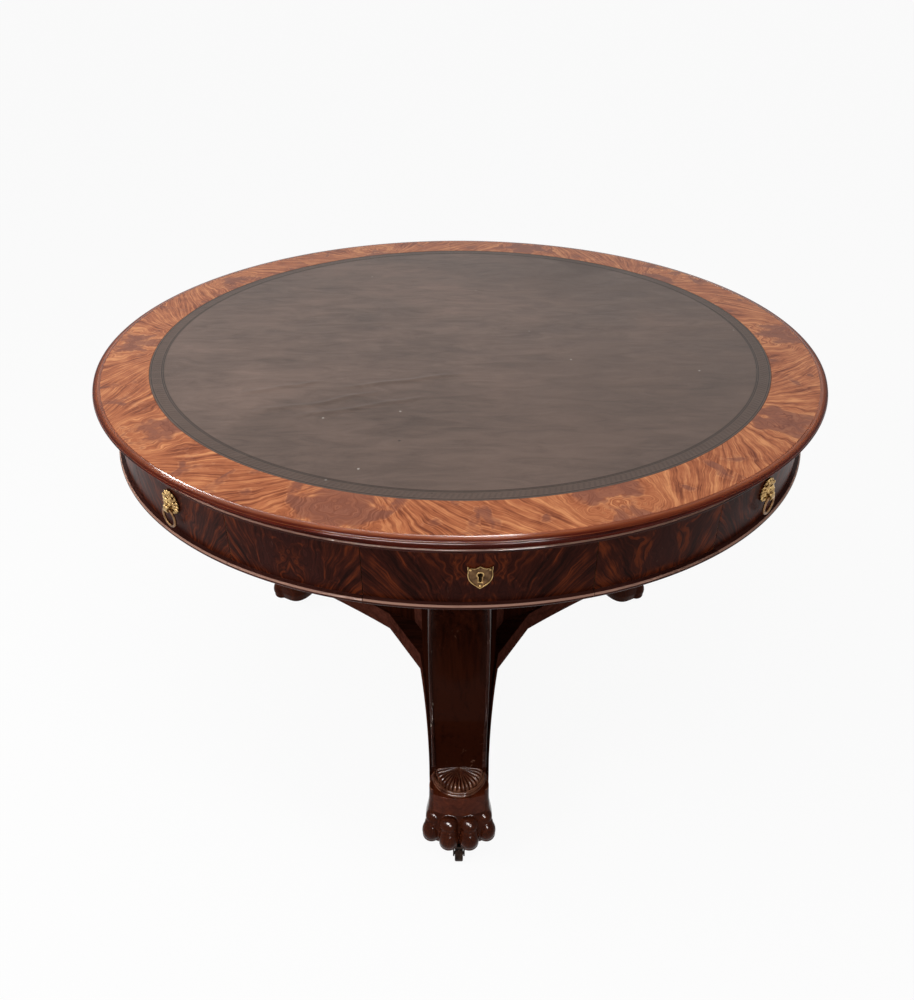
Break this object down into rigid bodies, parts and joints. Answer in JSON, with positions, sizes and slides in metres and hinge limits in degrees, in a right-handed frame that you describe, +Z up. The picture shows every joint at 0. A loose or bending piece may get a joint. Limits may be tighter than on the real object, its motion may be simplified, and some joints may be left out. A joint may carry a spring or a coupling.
{
  "type": "drum table",
  "caption": "Round writing table with a revolving leather-lined drum, keyed and ring-pull frieze drawers, and a three-legged paw-footed base on castors.",
  "frame": {"origin": "on the floor, below the middle of the round top", "axes": "+Z up; -Y towards the front leg, +X to the sitter's right"},
  "size_m": [1.1798, 1.18, 0.7622],
  "materials": {
    "flame_banding": "french polished flame mahogany veneer, radial segments",
    "flame_frieze": "french polished dark flame mahogany veneer",
    "mahogany_moulding": "glossy turned mahogany moulding",
    "mahogany_base": "very dark worn polish on mahogany",
    "carcase_pine": "dry aged pine",
    "drawer_oak": "dry oiled oak",
    "writing_leather": "aged dark leather with a blind-tooled border",
    "brass": "cast brass, worn bright on the high places",
    "steel": "turned steel"
  },
  "bodies": {
    "base": {"platform": "mahogany_base", "pedestal_core": "mahogany_base", "bearer": "carcase_pine", "pivot_spindle": "steel", "turntable_ring": "carcase_pine", "leg_beads": "mahogany_base", "foot_shells": "mahogany_base", "castor_plates": "brass", "leg_front": "mahogany_base", "leg_right": "mahogany_base", "leg_left": "mahogany_base", "foot_front": "mahogany_base", "foot_right": "mahogany_base", "foot_left": "mahogany_base"},
    "drum": {"top_board": "carcase_pine", "edge_moulding": "mahogany_moulding", "crossbanding": "flame_banding", "leather_top": "writing_leather", "upper_bead": "mahogany_moulding", "frieze_panels": "flame_frieze", "lower_bead": "mahogany_moulding", "drum_floor": "carcase_pine", "drum_pillar": "carcase_pine", "pivot_bush": "brass", "carcase_ribs": "carcase_pine", "drawer_guides": "carcase_pine"},
    "drawer_front": {"drawer_front_front": "flame_frieze", "drawer_box_front": "drawer_oak", "lock_front": "brass"},
    "drawer_right": {"drawer_front_right": "flame_frieze", "drawer_box_right": "drawer_oak", "lock_right": "brass"},
    "drawer_back": {"drawer_front_back": "flame_frieze", "drawer_box_back": "drawer_oak", "lock_back": "brass"},
    "drawer_left": {"drawer_front_left": "flame_frieze", "drawer_box_left": "drawer_oak", "lock_left": "brass"},
    "drawer_front_right": {"drawer_front_front_right": "flame_frieze", "drawer_box_front_right": "drawer_oak", "lion_mask_front_right": "brass"},
    "ring_front_right": {"pull_ring_front_right": "brass"},
    "drawer_back_right": {"drawer_front_back_right": "flame_frieze", "drawer_box_back_right": "drawer_oak", "lion_mask_back_right": "brass"},
    "ring_back_right": {"pull_ring_back_right": "brass"},
    "drawer_back_left": {"drawer_front_back_left": "flame_frieze", "drawer_box_back_left": "drawer_oak", "lion_mask_back_left": "brass"},
    "ring_back_left": {"pull_ring_back_left": "brass"},
    "drawer_front_left": {"drawer_front_front_left": "flame_frieze", "drawer_box_front_left": "drawer_oak", "lion_mask_front_left": "brass"},
    "ring_front_left": {"pull_ring_front_left": "brass"},
    "castor_front": {"castor_horn_front": "brass"},
    "wheel_front": {"castor_wheel_front": "brass"},
    "castor_right": {"castor_horn_right": "brass"},
    "wheel_right": {"castor_wheel_right": "brass"},
    "castor_left": {"castor_horn_left": "brass"},
    "wheel_left": {"castor_wheel_left": "brass"}
  },
  "joints": [
    {"name": "drum_turn", "type": "hinge", "parent": "base", "child": "drum", "pos_m": [0, 0, 0.647], "axis": [0, 0, 1], "continuous": true},
    {"name": "drawer_slide_front", "type": "slide", "parent": "drum", "child": "drawer_front", "axis": [0.0419, -0.9991, 0], "range_m": [0, 0.3]},
    {"name": "drawer_slide_right", "type": "slide", "parent": "drum", "child": "drawer_right", "axis": [0.9991, 0.0419, 0], "range_m": [0, 0.3]},
    {"name": "drawer_slide_back", "type": "slide", "parent": "drum", "child": "drawer_back", "axis": [-0.0419, 0.9991, 0], "range_m": [0, 0.3]},
    {"name": "drawer_slide_left", "type": "slide", "parent": "drum", "child": "drawer_left", "axis": [-0.9991, -0.0419, 0], "range_m": [0, 0.3]},
    {"name": "drawer_slide_front_right", "type": "slide", "parent": "drum", "child": "drawer_front_right", "axis": [0.7361, -0.6769, 0], "range_m": [0, 0.15]},
    {"name": "ring_swing_front_right", "type": "hinge", "parent": "drawer_front_right", "child": "ring_front_right", "pos_m": [0.42215, -0.38819, 0.6932], "axis": [-0.6769, -0.7361, 0], "range_deg": [0, 85]},
    {"name": "drawer_slide_back_right", "type": "slide", "parent": "drum", "child": "drawer_back_right", "axis": [0.6769, 0.7361, 0], "range_m": [0, 0.15]},
    {"name": "ring_swing_back_right", "type": "hinge", "parent": "drawer_back_right", "child": "ring_back_right", "pos_m": [0.38819, 0.42215, 0.6932], "axis": [0.7361, -0.6769, 0], "range_deg": [0, 85]},
    {"name": "drawer_slide_back_left", "type": "slide", "parent": "drum", "child": "drawer_back_left", "axis": [-0.7361, 0.6769, 0], "range_m": [0, 0.15]},
    {"name": "ring_swing_back_left", "type": "hinge", "parent": "drawer_back_left", "child": "ring_back_left", "pos_m": [-0.42215, 0.38819, 0.6932], "axis": [0.6769, 0.7361, 0], "range_deg": [0, 85]},
    {"name": "drawer_slide_front_left", "type": "slide", "parent": "drum", "child": "drawer_front_left", "axis": [-0.6769, -0.7361, 0], "range_m": [0, 0.15]},
    {"name": "ring_swing_front_left", "type": "hinge", "parent": "drawer_front_left", "child": "ring_front_left", "pos_m": [-0.38819, -0.42215, 0.6932], "axis": [-0.7361, 0.6769, 0], "range_deg": [0, 85]},
    {"name": "castor_swivel_front", "type": "hinge", "parent": "base", "child": "castor_front", "pos_m": [0, -0.461, 0.035], "axis": [0, 0, 1], "continuous": true},
    {"name": "wheel_spin_front", "type": "hinge", "parent": "castor_front", "child": "wheel_front", "pos_m": [0, -0.47, 0.014], "axis": [1, 0, 0], "continuous": true},
    {"name": "castor_swivel_right", "type": "hinge", "parent": "base", "child": "castor_right", "pos_m": [0.39924, 0.2305, 0.035], "axis": [0, 0, 1], "continuous": true},
    {"name": "wheel_spin_right", "type": "hinge", "parent": "castor_right", "child": "wheel_right", "pos_m": [0.40703, 0.235, 0.014], "axis": [-0.5, 0.866, 0], "continuous": true},
    {"name": "castor_swivel_left", "type": "hinge", "parent": "base", "child": "castor_left", "pos_m": [-0.39924, 0.2305, 0.035], "axis": [0, 0, 1], "continuous": true},
    {"name": "wheel_spin_left", "type": "hinge", "parent": "castor_left", "child": "wheel_left", "pos_m": [-0.40703, 0.235, 0.014], "axis": [-0.5, -0.866, 0], "continuous": true}
  ]
}
